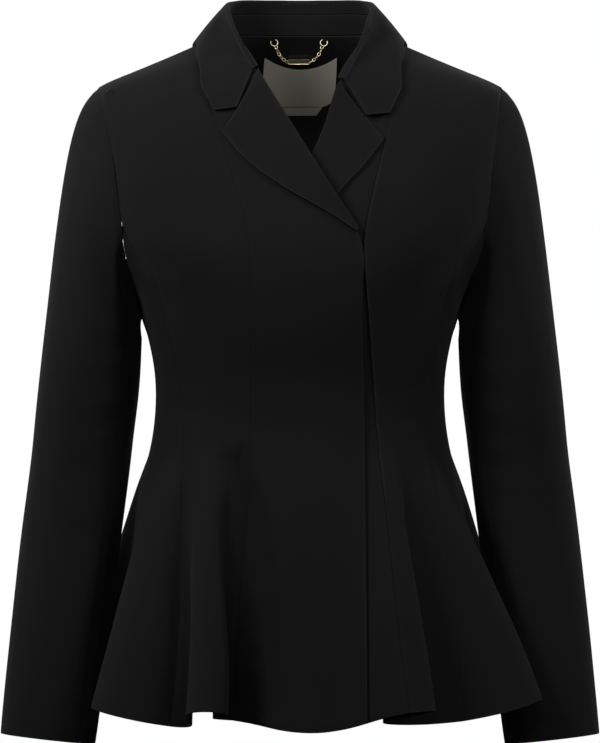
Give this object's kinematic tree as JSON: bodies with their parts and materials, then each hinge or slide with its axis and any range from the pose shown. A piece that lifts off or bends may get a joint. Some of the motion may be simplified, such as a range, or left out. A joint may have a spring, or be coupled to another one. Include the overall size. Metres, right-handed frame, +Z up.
{
  "type": "wool blazer",
  "caption": "Women's wool blazer in its worn shape: notched collar, off-centre overlap with concealed closure, princess seams, fitted waist and flared, softly folded peplum.",
  "frame": {"origin": "between the shoulders at the base of the neck, where the wearer carries the garment", "axes": "+Z up, the front faces -Y, +X towards the wearer's left"},
  "size_m": [0.5504, 0.3046, 0.6854],
  "materials": {
    "wool_crepe": "matt black wool crepe with a soft nap",
    "lining_satin": "black satin lining with a soft gloss",
    "woven_label": "cream woven satin, blank",
    "care_label": "cream taffeta, blank",
    "gold_metal": "polished light gold plating"
  },
  "bodies": {
    "root": {"front_right": "wool_crepe", "front_left": "wool_crepe", "side_front_right": "wool_crepe", "side_front_left": "wool_crepe", "side_right": "wool_crepe", "side_left": "wool_crepe", "back_right": "wool_crepe", "back_left": "wool_crepe", "top_sleeve_right": "wool_crepe", "top_sleeve_left": "wool_crepe", "under_sleeve_right": "wool_crepe", "under_sleeve_left": "wool_crepe", "lapel_right": "wool_crepe", "lapel_left": "wool_crepe", "collar_leaf": "wool_crepe", "collar_stand": "wool_crepe", "back_lining": "lining_satin", "neck_label": "woven_label", "care_label": "care_label", "hanger_ring_right": "gold_metal", "hanger_ring_left": "gold_metal", "hanger_chain_right": "gold_metal", "hanger_chain_left": "gold_metal", "hanger_bar": "gold_metal"}
  },
  "joints": []
}
